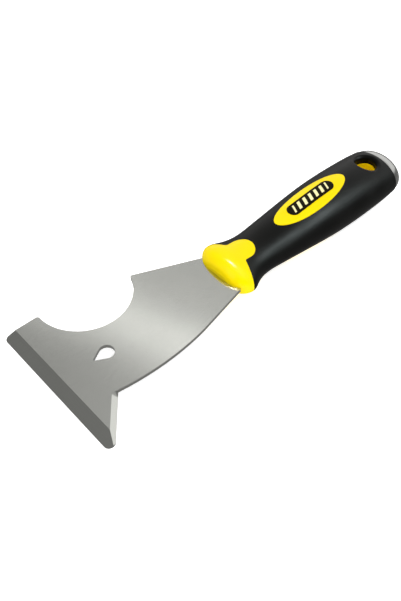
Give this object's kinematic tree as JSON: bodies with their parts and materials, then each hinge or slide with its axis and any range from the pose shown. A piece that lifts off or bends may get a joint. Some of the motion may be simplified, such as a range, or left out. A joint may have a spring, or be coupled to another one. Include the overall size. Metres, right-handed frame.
{
  "type": "painter's multi tool",
  "caption": "Painter's hand tool: wide bevelled scraper blade with a half-round roller-cleaning cut-out, crack-opening point, nail slot, soft grip and steel strike cap.",
  "frame": {"origin": "on the axis of the hang hole, in the middle of the blade's thickness", "axes": "+X along the handle towards the strike cap, +Y towards the side with the half-round cut-out, +Z out of the bevelled face"},
  "size_m": [0.2212, 0.0737, 0.0278],
  "materials": {
    "blade_steel": "satin",
    "cap_steel": "polished",
    "core_plastic": "gloss",
    "grip_rubber": "satin",
    "badge_plastic": "gloss",
    "label_film": "semi-gloss",
    "rivet_steel": "plain"
  },
  "bodies": {
    "root": {"blade": "blade_steel", "core_front": "core_plastic", "core_rear": "core_plastic", "tang_rivets": "rivet_steel", "grip": "grip_rubber", "badge_front": "badge_plastic", "badge_rear": "badge_plastic", "label_front": "label_film", "label_rear": "label_film", "strike_cap": "cap_steel"}
  },
  "joints": []
}
